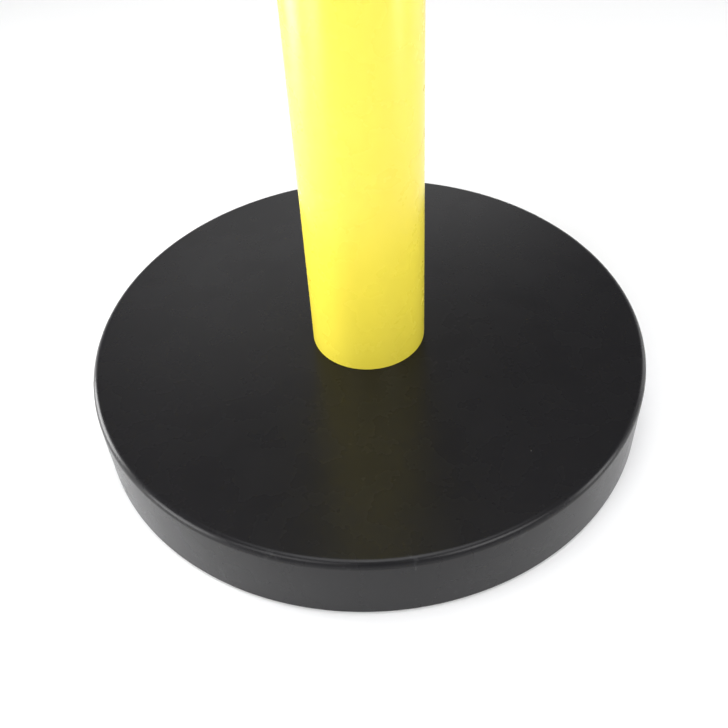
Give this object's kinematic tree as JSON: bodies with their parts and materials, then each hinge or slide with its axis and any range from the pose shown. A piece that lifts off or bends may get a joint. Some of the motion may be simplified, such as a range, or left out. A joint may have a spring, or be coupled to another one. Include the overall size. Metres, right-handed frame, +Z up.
{
  "type": "delineator post",
  "caption": "Free-standing yellow delineator post: straight tube on a weighted round black foot, with a four-way head holding a sprung retractable belt, its brake and a locking end clip.",
  "frame": {"origin": "centre of the round foot, on the floor", "axes": "+Z up the tube, which is the longest extent; +X the way the belt pulls out of the head; +Y and the other two sides carry the belt receivers"},
  "size_m": [0.31, 0.31, 1],
  "materials": {
    "cover_black": "satin black powder coat on pressed steel, fine orange peel",
    "tube_yellow": "satin bright yellow powder coat on round steel tube",
    "rubber_black": "matt moulded rubber",
    "concrete": "cast concrete with fine pores",
    "zinc_steel": "bright zinc-plated steel",
    "dark_steel": "oiled blue-grey hardened steel",
    "abs_black": "black moulded plastic with a fine spark texture",
    "acetal_grey": "dark grey moulded acetal, smooth",
    "nylon_white": "natural nylon, slightly waxy",
    "brake_lining": "matt brown friction lining",
    "belt_web": "woven polyester webbing, black with slanting yellow stripes"
  },
  "bodies": {
    "post": {"rubber_ring": "rubber_black", "concrete_weight": "concrete", "bolt_sleeve": "zinc_steel", "base_cover": "cover_black", "clamp_washer": "zinc_steel", "spring_washer": "zinc_steel", "clamp_nut": "zinc_steel", "foot_bolt": "zinc_steel", "foot_plate": "dark_steel", "post_tube": "tube_yellow", "head_screw_1": "zinc_steel", "head_screw_2": "zinc_steel", "head_screw_3": "zinc_steel", "head_casing": "abs_black", "top_cap": "abs_black", "centre_plug": "abs_black", "cap_screw_1": "zinc_steel", "cap_screw_2": "zinc_steel", "cap_screw_3": "zinc_steel", "cap_screw_4": "zinc_steel", "spool_shaft": "zinc_steel", "shaft_screw": "zinc_steel", "lower_washer": "nylon_white", "upper_washer": "nylon_white", "shaft_clip": "dark_steel", "brake_ring": "dark_steel"},
    "spool": {"spring_case": "acetal_grey", "power_spring": "dark_steel", "belt_spool": "acetal_grey", "belt_coil": "belt_web", "upper_flange": "acetal_grey", "brake_pin_a": "zinc_steel", "brake_pin_b": "zinc_steel"},
    "shoe_a": {"brake_shoe_a": "acetal_grey", "brake_pad_a": "brake_lining"},
    "shoe_b": {"brake_shoe_b": "acetal_grey", "brake_pad_b": "brake_lining"},
    "belt_clip": {"belt_tail": "belt_web", "clip_pin": "zinc_steel", "clip_front": "abs_black", "clip_back": "abs_black", "clip_screw_upper": "zinc_steel", "clip_screw_lower": "zinc_steel", "lock_spring": "zinc_steel"},
    "lock_bolt": {"lock_bolt": "acetal_grey"}
  },
  "joints": [
    {"name": "belt_pull", "type": "slide", "parent": "post", "child": "belt_clip", "axis": [1, 0, 0], "range_m": [0, 2], "stiffness_N_per_m": 2, "springref_m": -2.5, "deforming": ["belt_tail"]},
    {"name": "spool_spin", "type": "hinge", "parent": "post", "child": "spool", "pos_m": [0, 0, 0.95], "axis": [0, 0, -1], "range_deg": [0, 7820], "deforming": ["power_spring", "belt_coil"]},
    {"name": "brake_shoe_a_swing", "type": "hinge", "parent": "spool", "child": "shoe_a", "pos_m": [-0.00274, 0.01556, 0.988], "axis": [0, 0, -1], "range_deg": [0, 3.5]},
    {"name": "brake_shoe_b_swing", "type": "hinge", "parent": "spool", "child": "shoe_b", "pos_m": [0.00274, -0.01556, 0.988], "axis": [0, 0, -1], "range_deg": [0, 3.5]},
    {"name": "lock_bolt_slide", "type": "slide", "parent": "belt_clip", "child": "lock_bolt", "axis": [-1, 0, 0], "range_m": [0, 0.0018], "stiffness_N_per_m": 300, "springref_m": -0.002, "deforming": ["lock_spring"]}
  ],
  "couplings": [
    {"joint": "spool_spin", "follows": "belt_pull", "rad_per_m": 68.1}
  ]
}
